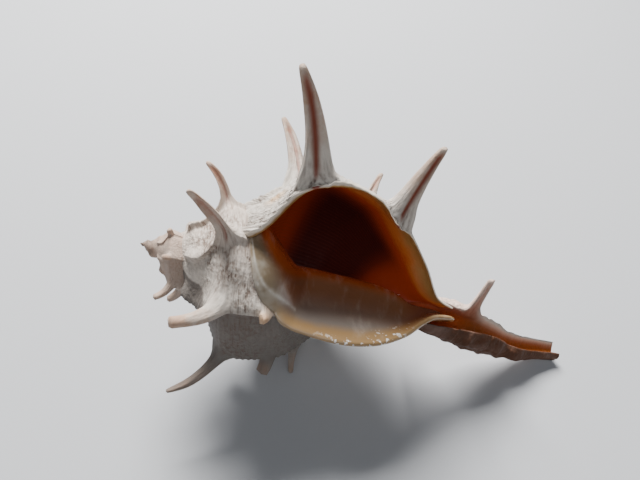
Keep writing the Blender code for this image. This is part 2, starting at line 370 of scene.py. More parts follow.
# %% Glaze inside the mouth
GLAZE_STOPS = [(0.0, (0.36, 0.205, 0.070, 1.0)), (0.022, (0.38, 0.150, 0.032, 1.0)),
               (0.055, (0.30, 0.034, 0.006, 1.0)), (0.18, (0.22, 0.021, 0.005, 1.0)),
               (0.42, (0.075, 0.010, 0.006, 1.0)), (1.0, (0.012, 0.006, 0.006, 1.0))]
RAMP_END = 60.0
OPEN_DEPTH = 12.0
THROAT_ADDS = 26.0
RING_RATE = 7.0
RING_RED = (0.12, 0.035, 0.025)
RIM_WHITE = (0.66, 0.58, 0.48)
GLOW_AMBER = (0.026, 0.010, 0.002)
GLOW_RED = (0.080, 0.0085, 0.0011)
GLOW_DEEP = (0.042, 0.0048, 0.0008)
GLOW_THROAT = (0.006, 0.001, 0.001)
NO_GLOW = (0.0, 0.0, 0.0)
glaze, tree, surface, point = new_finish("amber_glaze", 0.30, 0.35, 0.12)
worn = use_group(tree, wear, {"Point": point, "Stain size": 140.0})
depth = read(tree, "depth")
across = read(tree, "across")
# The throat's near black is partly the glaze's own dark colour and partly painted shade of the deep cavity.
throat = times(tree, mapped(tree, depth, 8.0, 17.0),
               mapped(tree, across, AT_SHOULDER + 1.0, AT_SHOULDER + 7.0))
throat = times(tree, throat, mapped(tree, across, across_of(44.5), across_of(40.5)))
deep = maths(tree, "MULTIPLY_ADD", throat, THROAT_ADDS, maths(tree, "MINIMUM", depth, OPEN_DEPTH))
uneven = maths(tree, "MULTIPLY_ADD", worn["Stain"], 2.0, deep)
painted = add_node(tree, "ShaderNodeValToRGB", (mapped(tree, uneven, 0.0, RAMP_END),))
ramp = painted.color_ramp
for share, tone in GLAZE_STOPS[1:-1]:
    ramp.elements.new(share).color = tone
ramp.elements[0].color = GLAZE_STOPS[0][1]
ramp.elements[-1].color = GLAZE_STOPS[-1][1]
rings = maths(tree, "SINE", times(tree, depth, RING_RATE))
ring_mask = times(tree, mapped(tree, rings, 0.2, 1.0), mapped(tree, deep, 6.0, 12.0, 0.0, 0.30))
colour = layered(tree, painted.outputs[0], [
    (ring_mask, RING_RED), (mapped(tree, depth, -0.25, -0.6), RIM_WHITE),
    (read(tree, "groove"), GROOVE_RED)])
tree.links.new(colour, surface.inputs["Base Color"])
glow = layered(tree, GLOW_AMBER, [
    (mapped(tree, uneven, 1.0, 5.0), GLOW_RED), (mapped(tree, depth, 6.0, 24.0), GLOW_DEEP),
    (throat, GLOW_THROAT), (mapped(tree, depth, 0.0, -0.3), NO_GLOW)])
tree.links.new(glow, surface.inputs["Emission Color"])
ripple = plus(tree, times(tree, rings, 0.2), worn["Mottle"])
add_bump(tree, surface, ripple, 0.05, 0.6)
print("glaze:", len(tree.nodes), "nodes")

# %% [markdown]
# The inner lip is the same glaze laid over the older whorl and the pillar, thick enough to look
# like porcelain: cream and tan along its free edge, a cold grey where light sinks into it, and
# orange-brown where it turns into the mouth. It carries its distance from the free edge, and
# masks for the chipped flakes at that edge and for the white streak where it thins out.

# %% Porcelain of the inner lip
EDGE_TAN = (0.30, 0.19, 0.088)
COLD_GREY = (0.21, 0.185, 0.16)
CREST_BROWN = (0.20, 0.074, 0.027)
CREST_ORANGE = (0.25, 0.058, 0.012)
DEEP_RED = (0.16, 0.024, 0.008)
DEEP_BLACK = (0.022, 0.009, 0.008)
CALLUS_TAN = (0.20, 0.15, 0.095)
CALLUS_CREAM = (0.37, 0.325, 0.26)
CLOUD_CREAM = (0.50, 0.46, 0.41)
STREAK_WHITE = (0.66, 0.63, 0.57)
CHIP_WHITE = (0.80, 0.77, 0.72)
CREST_GLOW = (0.042, 0.006, 0.0008)
FOLD_GLOW = (0.022, 0.002, 0.001)
porcelain, tree, surface, point = new_finish("porcelain_lip", 0.24, 0.5, 0.08)
worn = use_group(tree, wear, {"Point": point, "Stain size": 120.0})
edge = read(tree, "edge")
crest = read(tree, "crest")
uneven = maths(tree, "MULTIPLY_ADD", worn["Stain"], 0.7, edge)
callus_tone = mixed(tree, mapped(tree, worn["Stain"], 0.1, 0.9), CALLUS_TAN, CALLUS_CREAM)
brown_reach = maths(tree, "MULTIPLY_ADD", read(tree, "callus"), 4.6, crest)
drawn_out = add_node(tree, "ShaderNodeVectorMath", (point, (1.0, 0.35, 1.0)), operation="MULTIPLY")
clouds = noise(tree, drawn_out.outputs[0], 330.0, 4.0)
white_streak = times(tree, read(tree, "streak"), mapped(tree, worn["Mottle"], 0.0, 1.0, 0.5, 1.0))
flakes = mapped(tree, noise(tree, point, 1200.0, 3.0), 0.57, 0.63)
# Deep in the mouth the glaze turns near black, partly its own dark colour and partly painted shade of the
# cavity.
colour = layered(tree, EDGE_TAN, [
    (mapped(tree, uneven, 1.2, 3.4), COLD_GREY), (read(tree, "callus"), callus_tone),
    (mapped(tree, brown_reach, 8.0, 1.8, 0.0, 0.9), CREST_BROWN),
    (mapped(tree, crest, 1.2, -1.2), CREST_ORANGE), (mapped(tree, crest, -1.0, -6.0), DEEP_RED),
    (mapped(tree, crest, -6.0, -18.0), DEEP_BLACK),
    (times(tree, mapped(tree, clouds, 0.50, 0.75), 0.30), CLOUD_CREAM), (white_streak, STREAK_WHITE),
    (times(tree, read(tree, "chips"), flakes), CHIP_WHITE)])
tree.links.new(colour, surface.inputs["Base Color"])
# The red glow at the crest and in the fold is painted light, for daylight shining through the thin glaze.
glow = layered(tree, NO_GLOW, [
    (mapped(tree, crest, 1.5, -2.5), CREST_GLOW), (mapped(tree, crest, -3.0, -8.0), FOLD_GLOW),
    (mapped(tree, crest, -8.0, -20.0), NO_GLOW)])
tree.links.new(glow, surface.inputs["Emission Color"])
add_bump(tree, surface, plus(tree, worn["Mottle"], times(tree, clouds, 1.5)), 0.06, 0.5)
print("porcelain:", len(tree.nodes), "nodes")

# %% [markdown]
# The canal is the gutter for the snail's breathing tube. Its upper side is pinkish white, its
# lower side is dark brown, partly its own colour and partly painted shade, with knobs and pale
# rubs, and the groove in it is stained orange-red.

# %% Canal finish
PINK_WHITE = (0.72, 0.56, 0.48)
PINK_BROWN = (0.50, 0.34, 0.27)
UNDER_BROWN = (0.085, 0.030, 0.012)
RUBBED_PINK = (0.24, 0.165, 0.14)
CANAL_PIT = (0.055, 0.030, 0.018)
RUST_RED = (0.44, 0.055, 0.006)
RUST_TAN = (0.28, 0.080, 0.010)
WORN_WHITE = (0.80, 0.70, 0.60)
canal_lime, tree, surface, point = new_finish("canal_lime", 0.66)
surface.inputs["Specular IOR Level"].default_value = 0.25
woven = use_group(tree, weave, {"Along": read(tree, "along"), "Across": read(tree, "across"),
                                "Point": point, "Cord spacing": 0.8, "Line spacing": 0.7})
worn = use_group(tree, wear, {"Point": point, "Stain size": 150.0})
# The dark brown of the lower side is partly the canal's own colour and partly painted shade.
shade = read(tree, "under")
rubbed = times(tree, times(tree, worn["Stain"], 0.40), shade)
rust = mixed(tree, mapped(tree, read(tree, "along"), 46.0, 58.0), RUST_RED, RUST_TAN)
colour = layered(tree, PINK_WHITE, [
    (times(tree, worn["Mottle"], 0.5), PINK_BROWN), (shade, UNDER_BROWN), (rubbed, RUBBED_PINK),
    (times(tree, woven["Pits"], 0.6), CANAL_PIT), (read(tree, "groove"), rust),
    (read(tree, "pale"), WORN_WHITE)])
tree.links.new(colour, surface.inputs["Base Color"])
relief = plus(tree, woven["Height"], times(tree, worn["Grain"], 0.5))
add_bump(tree, surface, relief, 0.14)
print("canal:", len(tree.nodes), "nodes")

# %% [markdown]
# The whorls are one gutter rolled up: a flat sheet keeps the growth angle, the outline's height
# and its radius as its three coordinates, and a Geometry Nodes tree turns those into a coil.
# The rule stands in the tree, with its rates as named inputs, so another snail is a matter of
# other numbers.

# %% Geometry Nodes: roll a gutter into a coil
coil = bpy.data.node_groups.new("roll_into_coil", "GeometryNodeTree")
COIL_INPUTS = {"Growth": GROWTH, "Slowing": SLOWING, "Lip angle": LIP_ANGLE,
               "Suture sweep": SUTURE_SWEEP, "Canal sweep": CANAL_SWEEP}
coil.interface.new_socket("Geometry", in_out="INPUT", socket_type="NodeSocketGeometry")
for title, value in COIL_INPUTS.items():
    coil.interface.new_socket(title, in_out="INPUT", socket_type=NUMBER).default_value = value
coil.interface.new_socket("Finish", in_out="INPUT", socket_type="NodeSocketMaterial")
coil.interface.new_socket("Geometry", in_out="OUTPUT", socket_type="NodeSocketGeometry")
given = coil.nodes.new("NodeGroupInput").outputs
made = coil.nodes.new("NodeGroupOutput")
spot = add_node(coil, "GeometryNodeInputPosition").outputs[0]
angle, height, radius = add_node(coil, "ShaderNodeSeparateXYZ", (spot,)).outputs
at_suture = mapped(coil, height, SHOULDER[0], SUTURE[0], 0.0, given["Suture sweep"])
at_canal = mapped(coil, height, BASE_ROW[0], NECK[0], 0.0, given["Canal sweep"])
ahead = plus(coil, angle, plus(coil, at_suture, at_canal))
turns = maths(coil, "DIVIDE", ahead, 360.0)
rate = maths(coil, "SUBTRACT", given["Growth"], times(coil, given["Slowing"], turns))
size = maths(coil, "EXPONENT", times(coil, rate, turns))
turn = maths(coil, "RADIANS", plus(coil, ahead, given["Lip angle"]))
grown = times(coil, radius, size)
rolled = combined(coil, times(coil, height, size),
                  times(coil, grown, maths(coil, "COSINE", turn)),
                  times(coil, grown, maths(coil, "SINE", turn)))
moved = add_node(coil, "GeometryNodeSetPosition",
                 {"Geometry": given["Geometry"], "Position": rolled})
real = add_node(coil, "GeometryNodeRealizeInstances", (moved.outputs[0],))
dressed = add_node(coil, "GeometryNodeSetMaterial",
                   {"Geometry": real.outputs[0], "Material": given["Finish"]})
coil.links.new(dressed.outputs[0], made.inputs[0])
print("coil tree:", len(coil.nodes), "nodes")

# %% [markdown]
# Every piece of the shell is a sheet with columns along the growth and rows across it. These
# helpers make such a sheet, roll it with the tree, lay it down and hand it over as a piece. Two
# more place the lines of a sheet, close together where a spine will need them, and make the
# soft random hills that keep the surface from looking machined.

# %% Helpers for sheets
def sheet_faces(columns, rows, ring=False):
    """Faces of a grid of points; a ring joins its last row to its first."""
    last = rows if ring else rows - 1
    first = np.arange(columns - 1)[:, None] * rows + np.arange(last)[None, :]
    side = (np.arange(last) + 1) % rows
    beside = np.arange(columns - 1)[:, None] * rows + side[None, :]
    return np.stack([first, first + rows, beside + rows, beside], -1).reshape(-1, 4)


def new_mesh(name, points, faces):
    """A mesh from points and four-cornered faces."""
    mesh = bpy.data.meshes.new(name)
    mesh.from_pydata(points.reshape(-1, 3).tolist(), [], faces.tolist())
    return mesh


def add_object(name, data):
    """An object in the scene."""
    thing = bpy.data.objects.new(name, data)
    bpy.context.scene.collection.objects.link(thing)
    return thing


def roll_up(name, gutter, finish):
    """Roll a gutter (columns x rows x 3) with the coil tree, and give back its plain mesh."""
    flat = add_object(name + "_flat", new_mesh(name + "_flat", gutter, sheet_faces(*gutter.shape[:2])))
    roller = flat.modifiers.new("roll", "NODES")
    roller.node_group = coil
    for item in coil.interface.items_tree:
        if item.in_out == "INPUT" and item.name != "Geometry":
            roller[item.identifier] = COIL_INPUTS.get(item.name, finish)
    graph = bpy.context.evaluated_depsgraph_get()
    mesh = bpy.data.meshes.new_from_object(flat.evaluated_get(graph))
    flat.modifiers.remove(roller)
    bpy.data.objects.remove(flat)
    mesh.name = name
    points = np.empty(len(mesh.vertices) * 3, np.float32)
    mesh.vertices.foreach_get("co", points)
    return mesh, points.reshape(gutter.shape).astype(float)


def finish_piece(name, mesh, points, values):
    """Lay a mesh down, give it its point values, and make it a piece of the shell."""
    mesh.vertices.foreach_set("co", laid_down(points).astype(np.float32).ravel())
    for title, numbers in values.items():
        numbers = np.broadcast_to(numbers, points.shape[:-1]).astype(np.float32)
        mesh.attributes.new(title, "FLOAT", "POINT").data.foreach_set("value", numbers.ravel())
    mesh.polygons.foreach_set("use_smooth", np.ones(len(mesh.polygons), bool))
    mesh.update()
    piece = add_object(name, mesh)
    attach(piece, "root")
    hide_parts("shell")
    print(name, "has", sum(len(face.vertices) - 2 for face in mesh.polygons), "triangles")


def grid_lines(start, end, marks, fine, coarse, reach):
    """Lines from start to end, close together near the marks, with one on each mark."""
    stops = [start, *sorted(mark for mark in marks if start < mark < end), end]
    lines = []
    for low, high in zip(stops, stops[1:]):
        x = np.linspace(low, high, 300)
        near = np.min([np.abs(x - mark) for mark in marks], axis=0)
        step = fine + (coarse - fine) * smooth_step(near / reach)
        count = np.concatenate([[0.0], np.cumsum(np.diff(x) / (0.5 * (step[1:] + step[:-1])))])
        lines.extend(np.interp(np.linspace(0.0, count[-1], int(count[-1]) + 2)[:-1], count, x))
    return np.array(lines + [end])


def wave_noise(x, spacing, seed):
    """Soft random hills along a line, from -1 to 1."""
    hills = np.random.default_rng(seed).uniform(-1.0, 1.0, 4096)
    at = np.asarray(x) / spacing + 2048.0
    low = np.floor(at).astype(int)
    share = smooth_step(at - low)
    return hills[low % 4096] * (1.0 - share) + hills[(low + 1) % 4096] * share


# %% [markdown]
# Every so often the snail stopped and thickened its lip. Each stop is left as a rib with a spine
# at the shoulder and, on the last turn, a second one below. Between the ribs run raised cords,
# and the newest growth by the lip is rippled. All of that is relief on the gutter, before it is
# rolled. Where the next turn begins, the older one sinks out of sight, and a dark line along its
# seam is painted shade.

# %% Ribs, cords and seams
RIBS = [-3, -59, -124, -185, -225, -280, -331, -385, -440, -494, -548, -602, -656, -710]
RIB_HEIGHT = 1.1
RIB_WIDTH = 10.0
RIB_FRONT = 3.0
RIB_PEAKS = {-280: 2.1, -331: 1.5, -385: 1.7, -440: 1.9, -494: 2.2, -548: 2.2, -602: 2.2}
EDGE_LIFT = 0.85
RIPPLE = 0.15
RIPPLE_DEGREES = 4.3
CORD_SPACING = 1.25
CORD_HEIGHT = 0.085
STEP_HEIGHT = 0.05
SEAM_SINK = 0.4
BURIED_SINK = 2.2
# How dark the painted shade along the seams is.
SEAM_SHADE_DARKNESS = 0.7
SEAM_WIDTH = 0.45
UNDER_EDGE = 133.0
CALLUS_LINE = [(44.0, 15.4), (66.0, 15.7), (72.0, 16.4), (80.0, 16.9), (89.0, 17.4), (99.0, 18.1),
               (109.0, 19.2), (117.0, 20.4), (122.0, 21.7), (127.0, 23.0), (131.0, 24.5), (134.0, 27.0)]


def rib_lift(angle):
    """Height of the nearest rib, steeper on its newer side; the newest peaks at the lip's edge."""
    lift = np.zeros(np.shape(angle))
    for rib in RIBS:
        away = angle - (rib if rib < RIBS[0] else 0.0)
        width = np.where(away < 0, RIB_WIDTH, RIB_FRONT)
        peak = RIB_PEAKS.get(rib, RIB_HEIGHT)
        lift = np.maximum(lift, peak * bell(away, width))
    return lift


def covered(angle, height):
    """How far a point of a whorl lies under the next turn or under the inner lip, in mm."""
    side = LIP_ANGLE + angle + 360.0
    line = np.array(CALLUS_LINE)
    start = np.where(side < 44.0, SUTURE[0] * growth(np.minimum(angle + 360.0, 0.0)),
                     np.interp(side, line[:, 0], line[:, 1]))
    return np.where(side < UNDER_EDGE, height - start, -5.0)


def seam_shade_line(gutter, ahead, size):
    """Painted shade: a dark line along the line at which the next turn or the inner lip begins."""
    return SEAM_SHADE_DARKNESS * bell(covered(ahead, gutter[..., 1] * size), SEAM_WIDTH)


def gutter_sheet(angles, across, bulge=0.0, inset=0.0, relief=True):
    """The flat gutter: growth angle, outline height and radius for each column and row."""
    angle = angles[:, None] + np.zeros(len(across))[None, :]
    height, radius, out_h, out_r = (value[None, :] + np.zeros(len(angles))[:, None]
                                    for value in outline_at(across))
    angle = angle + bulge
    ahead = angle + sweep(height)
    size = growth(ahead)
    hidden = covered(ahead, height * size)
    lift = -np.asarray(inset) / size
    if relief:
        fade = smooth_step((NECK[0] - height) / 8.0) * smooth_step(-hidden / 0.9)
        fade = fade * smooth_step((height - SUTURE[0] + 2.6) / 2.0)
        lift = lift + rib_lift(angle) * fade
        wander = 0.25 * wave_noise(ahead, 9.0, 3)
        ridges = np.cos(2.0 * np.pi * (across[None, :] - AT_SHOULDER + wander) / CORD_SPACING)
        steps = wave_noise(ahead, 1.7, 5) + 0.6 * wave_noise(ahead, 0.8, 8)
        plain = smooth_step(-(angle + 1.5) / 7.0) * 0.85 + 0.15
        lift = lift + fade * plain * (CORD_HEIGHT * ridges * (1.0 + 0.5 * steps) + STEP_HEIGHT * steps)
        by_lip = smooth_step((ahead + 28.0) / 10.0) * smooth_step((SHOULDER[0] + 1.5 - height) / 3.0)
        ripples = np.sin(2.0 * np.pi * (ahead / RIPPLE_DEGREES + 0.5 * wander))
        lift = lift + fade * by_lip * (RIPPLE * ripples)
        sunk = SEAM_SINK * smooth_step((hidden - 0.4) / 0.8)
        sunk = sunk + BURIED_SINK * smooth_step((hidden - 1.0) / 3.0)
        lift = lift - sunk / size ** 0.5
        at_edge = bell(height - SUTURE[0], 1.7) * (height >= SUTURE[0] - 2.5)
        lift = lift + EDGE_LIFT * at_edge * smooth_step(-(ahead + 30.0) / 60.0)
    return np.stack([angle, height + lift * out_h, radius + lift * out_r], -1), ahead, size


# %% [markdown]
# A spine is the rib's edge drawn out into a thorn. So it isn't a cone stuck on: the points
# around its foot are pulled up along a bent line, the nearest ones furthest, and the cords run
# up its flanks. On the side of the mouth a narrow groove is left, where the lip was folded.

# %% Spines drawn out of the whorl
SPINE_ROOT = 3.6
SPINE_BODY = 1.6
LONGEST_SPINE = 15.6
SHOULDER_SPINES = [(0, 15.6, 22, 0.36), (1, 13.9, 22, 0.45), (2, 13.6, 20, 0.5), (3, 3.0, 20, 0.9),
                   (4, 9.9, 41, 0.30), (5, 8.6, 38, 0.85), (6, 11.0, 30, 0.28), (7, 7.2, 40, 0.30),
                   (8, 3.4, 35, 0.45), (9, 3.4, 35, 0.45), (10, 3.6, 35, 0.45), (11, 3.4, 35, 0.45),
                   (12, 1.4, 30, 0.45), (13, 0.9, 30, 0.4)]
BASE_SPINES = [(0, 12.2, -15, 0.45), (1, 9.6, -15, 0.36), (2, 4.0, -12, 0.4), (3, 6.9, -12, 0.34)]
STUBS = [(4, 2.8, 4, 0.95), (5, 2.1, 5, 0.7)]
STUB_ROW = (33.2, 17.1)
CANAL_SPINES = [(0, 6.4, -9, 0.55), (2, 4.0, -10, 0.5), (3, 5.6, -10, 0.5), (4, 4.6, -10, 0.5)]
CANAL_ROW = (53.6, 3.0)
FOLD_WIDTH = 0.30
FOLD_DEPTH = 0.55
LIP_SPINE_FRONT = 0.62
OLD_STAIN = 0.55


def draw_spine(points, x, y, row, rib, length, lean, tip_radius, marks, front=1.0, stained=0.3):
    """Pull the points round a foot out into a spine.

    x and y are mm from the foot's middle, r the same as a share of the foot, and u is how far
    up the spine a point goes, from 0 at the foot's rim to 1 at the tip.
    """
    angle = RIBS[rib]
    size = float(growth(angle))
    root = max(SPINE_ROOT * (length / LONGEST_SPINE) ** 0.6 * size ** 0.8, tip_radius * 1.4)
    middle = np.unravel_index(np.argmin(np.hypot(x, y)), x.shape)
    foot = points[middle].copy()
    x, y = x - x[middle], y - y[middle]
    wide = np.where(x > 0.0, front * root, root)
    reach = np.hypot(x / wide, y / root)
    near = reach < 1.0
    way_out = place(0.0, 1.0, angle)
    way_on = place(0.0, 1.0, angle + 90.0)
    axis = np.array([1.0, 0.0, 0.0])
    slant = radians(lean)
    base = np.array(row) * size
    base[1] *= 1.0 + 0.5 * RIB_HEIGHT / SHOULDER[1]
    tip = (base[0] - length * np.sin(slant)) * axis + (base[1] + length * np.cos(slant)) * way_out - foot
    bend = 0.5 * length * (np.cos(0.4 * slant) * way_out - np.sin(0.4 * slant) * axis)
    r = np.maximum(reach[near], 1e-6)[:, None]
    u = (1.0 - r ** 1.8) ** 2.2
    moved = 2.0 * u * (1.0 - u) * bend + u * u * tip
    heading = 2.0 * (1.0 - 2.0 * u) * bend + 2.0 * u * tip
    heading /= np.linalg.norm(heading, axis=1)[:, None]
    side = np.cross(way_on, heading)
    side *= np.sign(side @ axis)[:, None]
    slope_h, slope_r = (np.interp(across_of(row[0]), arc, column) for column in slope.T)
    lying = slope_h * axis + slope_r * way_out
    turned = smooth_step(u / 0.12)
    side = side * turned + lying * (1.0 - turned)
    side /= np.linalg.norm(side, axis=1)[:, None]
    dx, dy = x[near][:, None], y[near][:, None]
    body = SPINE_BODY * (length / LONGEST_SPINE) ** 1.5 * size ** 1.8
    slim = tip_radius * (1.0 - np.exp(-r / 0.03)) + body * (1.0 - u) ** 1.2
    foot_part = np.exp(-u / 0.08)
    wide_x = dx / r * (foot_part + slim * (1.0 - foot_part) / wide[near][:, None])
    wide_y = dy / r * (foot_part + slim * (1.0 - foot_part) / root)
    fold = bell(wide_y, FOLD_WIDTH) * (dx > 0.0)
    fold *= smooth_step((u - 0.01) / 0.06) * smooth_step((0.93 - u) / 0.1) * min(1.0, length / 6.0)
    depth = np.minimum(FOLD_DEPTH, 0.75 * np.abs(wide_x))
    points[near] += moved + (wide_x - dx - fold * depth) * way_on + wide_y * side - dy * lying
    marks["spine"][near] = np.maximum(marks["spine"][near], u[:, 0])
    marks["groove"][near] = np.maximum(marks["groove"][near], fold[:, 0] * stained)


def draw_row(points, ahead, across, row, spines, marks, ribs):
    """Draw a whole row of spines out of a sheet."""
    for rib, length, lean, tip_radius in spines:
        if rib not in ribs:
            continue
        size = float(growth(RIBS[rib]))
        x = np.radians(ahead - RIBS[rib]) * row[1] * size
        y = (across[None, :] - across_of(row[0])) * size + 0.0 * x
        x = np.where(np.abs(ahead - RIBS[rib]) < 60.0, x, 99.0)
        front, stained = (LIP_SPINE_FRONT, 1.0) if rib == 0 else (1.0, OLD_STAIN)
        draw_spine(points, x, y, row, rib, length, lean, tip_radius, marks, front, stained)


# %% [markdown]
# The last whorl is most of what one sees, so its sheet is the finest. Its lines crowd round the
# ribs and the two rows of spines, its lip runs ahead at the lip's own spines, and it goes on
# under its suture, so that no edge shows there.

# %% The last whorl
LIP_BULGE = 1.7
BULGE_REACH = 14.0
LAST_START = -360.0
BURIED_ROWS = 17


def lip_bulge(angles, across):
    """Degrees by which the lip runs ahead at its two spines, with small scallops between."""
    near_spines = (bell(across - AT_SHOULDER, 2.6) / SHOULDER[1]
                   + bell(across - AT_BASE_ROW, 2.2) / BASE_ROW[1])
    scallops = 0.05 * np.cos(2.0 * np.pi * across / CORD_SPACING) + 0.07 * wave_noise(across, 0.9, 41)
    scallops = scallops / SHOULDER[1] * smooth_step((across - AT_SHOULDER) / 8.0 + 0.4)
    by_lip = smooth_step(angles[:, None] / BULGE_REACH + 1.0)
    return np.degrees(LIP_BULGE * near_spines + scallops)[None, :] * by_lip


def blank_marks(shape):
    """Room for the marks that the spines leave: how far up a spine, and where its fold runs."""
    return {"spine": np.zeros(shape), "groove": np.zeros(shape)}


def spot_at(ahead, across, angle, wide, row, high):
    """A soft spot about one angle and one distance from the suture."""
    return bell(ahead - angle, wide) * bell(across[None, :] - row, high)


def chalk_values(gutter, ahead, size, across, marks, tint, shade):
    """What the chalky finish needs to know at each point of a whorl."""
    return {"along": np.radians(ahead) * SHOULDER[1] * size, "across": across[None, :],
            "age": smooth_step(-(ahead + 200.0) / 400.0), "tint": tint, "shade": shade,
            "painted_seam_shade": seam_shade_line(gutter, ahead, size), **marks}


angles = grid_lines(LAST_START, 0.0, RIBS, fine=0.42, coarse=1.05, reach=11.0)
open_rows = grid_lines(0.0, arc[-1], [AT_SHOULDER, AT_BASE_ROW], fine=0.16, coarse=0.37, reach=4.5)
across = np.concatenate([np.linspace(arc[0], 0.0, BURIED_ROWS + 1)[:-1], open_rows])
gutter, ahead, size = gutter_sheet(angles, across, lip_bulge(angles, across))
outside, points = roll_up("outside_whorl", gutter, chalk)
marks = blank_marks(ahead.shape)
draw_row(points, ahead, across, SHOULDER, SHOULDER_SPINES, marks, range(7))
draw_row(points, ahead, across, BASE_ROW, BASE_SPINES, marks, range(7))
draw_row(points, ahead, across, STUB_ROW, STUBS, marks, range(7))
# Painted shade: from the rib at -280 degrees to about -150 degrees, below the rib's ledge, the last turn is
# painted dark grey.
shade_below_ledge = smooth_step((ahead + 279.0) / 3.0) * smooth_step((-150.0 - ahead) / 60.0)
ramp_stain = spot_at(ahead, across, -14.0, 7.0, AT_SHOULDER - 7.0, 1.6)
knob_stain = spot_at(ahead, across, RIBS[5], 4.0, across_of(STUB_ROW[0]), 1.6)
values = chalk_values(gutter, ahead, size, across, marks, 0.8 * ramp_stain + 0.4 * knob_stain,
                      0.85 * shade_below_ledge)
lip_edge = points[-1].copy()
finish_piece("outside_whorl", outside, points, values)

# %% [markdown]
# The older turns are the same gutter further back. They get fewer points, because they are
# small, and their last few degrees dive just under the last whorl, so that no crack shows.

# %% The spire
TURNS_IN_ALL = 4.5
OVERLAP = 8.0
DIVE = 0.06
spire_angles = grid_lines(-360.0 * TURNS_IN_ALL, LAST_START + OVERLAP, RIBS, fine=0.9, coarse=2.6,
                          reach=12.0)
spire_across = grid_lines(float(arc[0]), arc[-1], [AT_SHOULDER], fine=0.28, coarse=0.7, reach=5.0)
dive = DIVE * smooth_step((spire_angles - LAST_START + 2.0) / 6.0)[:, None]
gutter, ahead, size = gutter_sheet(spire_angles, spire_across, inset=dive)
spire, points = roll_up("spire", gutter, chalk)
marks = blank_marks(ahead.shape)
draw_row(points, ahead, spire_across, SHOULDER, SHOULDER_SPINES, marks, range(7, 14))
# Painted shade: the oldest turns of the spire are painted a little darker.
values = chalk_values(gutter, ahead, size, spire_across, marks, 0.0 * ahead,
                      0.32 * smooth_step(-(ahead + 360.0) / 100.0))
finish_piece("spire", spire, points, values)

# %% [markdown]
# The inside of the wall is the gutter again, moved inwards by the wall's thickness. It starts
# exactly at the edge of the outside sheet, turns round the lip's thin rim, flares outwards a
# little below the shoulder, as the last rib does, and runs more than a full turn into the dark.

# %% The inner wall and the rim
WALL = 1.25
RIM = 0.34
RIM_ROUND = 0.3
RIM_STEPS = 6
WALL_FINE = 60.0
WALL_END = 400.0
DEEPEST = 120.0
near_lip = -np.linspace(0.0, 1.0, 70) ** 1.5 * WALL_FINE
inner_angles = np.concatenate([near_lip, -np.linspace(WALL_FINE, WALL_END, 120)[1:]])
inner_bulge = lip_bulge(inner_angles, across)
thick = RIM + (WALL - RIM) * smooth_step(-inner_angles / 22.0)[:, None]
gutter, ahead, size = gutter_sheet(inner_angles, across, inner_bulge, relief=False)
heights = gutter[..., 1]
flare = RIB_HEIGHT * bell(inner_angles[:, None], RIB_WIDTH)
flare = flare * smooth_step((NECK[0] - heights) / 8.0)
flare = flare * smooth_step((across[None, :] - AT_SHOULDER - 1.5) / 6.0)
flare = flare * (1.0 - 0.9 * bell(across[None, :] - AT_BASE_ROW, 2.4))
inset = thick * size ** 0.5 - flare
gutter, ahead, size = gutter_sheet(inner_angles, across, inner_bulge, inset, relief=False)
wall_mesh, wall = roll_up("inner_wall", gutter, glaze)
middle = 0.5 * (lip_edge + wall[0])
half = 0.5 * (lip_edge - wall[0])
forward = place(0.0, 1.0, ahead[0] + 90.0)
rounded = np.minimum(np.linalg.norm(half, axis=1), RIM_ROUND)[:, None]
rim = []
for step in range(1, RIM_STEPS + 1):
    turn = np.pi * step / (RIM_STEPS + 1)
    rim.append(middle + half * np.cos(turn) + forward * np.sin(turn) * rounded)
far_end = np.broadcast_to(wall[-1].mean(axis=0), (1, *lip_edge.shape))
points = np.concatenate([[lip_edge], rim, wall, far_end])
bpy.data.meshes.remove(wall_mesh)
wall_mesh = new_mesh("inner_wall", points, sheet_faces(*points.shape[:2]))
wall_mesh.materials.append(glaze)
behind_lip = -np.radians(inner_angles) * SHOULDER[1]
depth = np.concatenate([np.linspace(-1.0, 0.0, RIM_STEPS + 1), behind_lip, [DEEPEST]])[:, None]
groove = bell(across - AT_SHOULDER, 0.6) + bell(across - AT_BASE_ROW, 0.5)
groove = groove[None, :] * np.exp(-depth / 2.0)
values = {"depth": depth, "across": across[None, :], "groove": groove}
finish_piece("inner_wall", wall_mesh, points, values)

# %% [markdown]
# The inner lip is the glaze over the older whorl and the pillar. Across the shell it is a string
# pulled taut: it follows what it covers, leaves it where it can go straight, and ends at the
# free edge, where it turns back as a thin shield. The callus line is where it thins out on the
# older whorl.

# %% The inner lip
GLAZE_THICKNESS = 0.45
PILLAR_START = 5.0
PILLAR_FULL = 30.0
FREE_EDGE = [(14.6, 64.0, 9.3), (15.9, 67.0, 9.4), (16.4, 72.0, 9.6), (16.9, 80.0, 9.8), (17.4, 89.0, 10.0),
             (18.1, 99.0, 10.1), (19.2, 109.0, 10.3), (20.4, 117.0, 10.4), (21.7, 122.5, 10.6),
             (23.2, 127.0, 10.8), (25.0, 130.0, 11.0), (27.6, 130.5, 11.3), (31.0, 130.4, 11.6),
             (34.8, 129.6, 11.3), (38.7, 127.5, 10.1), (42.2, 122.0, 7.9), (44.7, 109.4, 5.5),
             (47.0, 94.0, 4.1), (49.5, 85.0, 3.0), (50.6, 82.0, 2.2)]
SHIELD_THICK = 0.8
SHIELD_HOLLOW = 0.75
CALLUS_WIDTH = 6.5
EDGE_POINTS = 900
LIP_ROWS = 190
SECTION = 240
SHIELD_STEPS = 40
BACK_STEPS = 26
BACK_REACH = 14.0
ROUND_STEPS = 6


